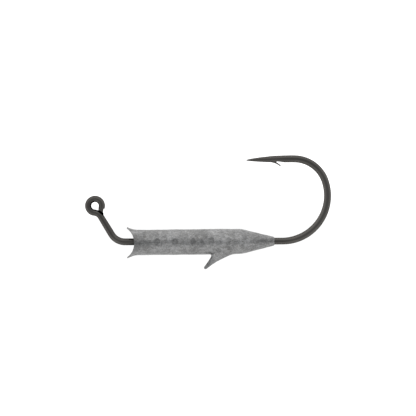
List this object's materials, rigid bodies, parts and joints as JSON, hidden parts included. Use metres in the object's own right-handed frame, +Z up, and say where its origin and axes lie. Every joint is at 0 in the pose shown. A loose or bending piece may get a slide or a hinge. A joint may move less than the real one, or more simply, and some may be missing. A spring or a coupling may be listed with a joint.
{
  "type": "jig head",
  "caption": "Fishing jig head: an eyed, barbed wire hook cast into a slim cylindrical lead body with a fishmouth nose, a tapered tail and a forward-leaning bait keeper spike.",
  "frame": {"origin": "middle of the jig head's bounding box, on the surface it lies on", "axes": "+X along the lead body from the line eye to the hook's bend, +Y to the side of the hook's point, +Z up, away from the surface on which the lead and the bend both rest"},
  "size_m": [0.0522, 0.0238, 0.0055],
  "materials": {
    "black_nickel": "gloss",
    "cast_lead": "satin"
  },
  "bodies": {
    "root": {"hook": "black_nickel", "lead_body": "cast_lead"}
  },
  "joints": []
}
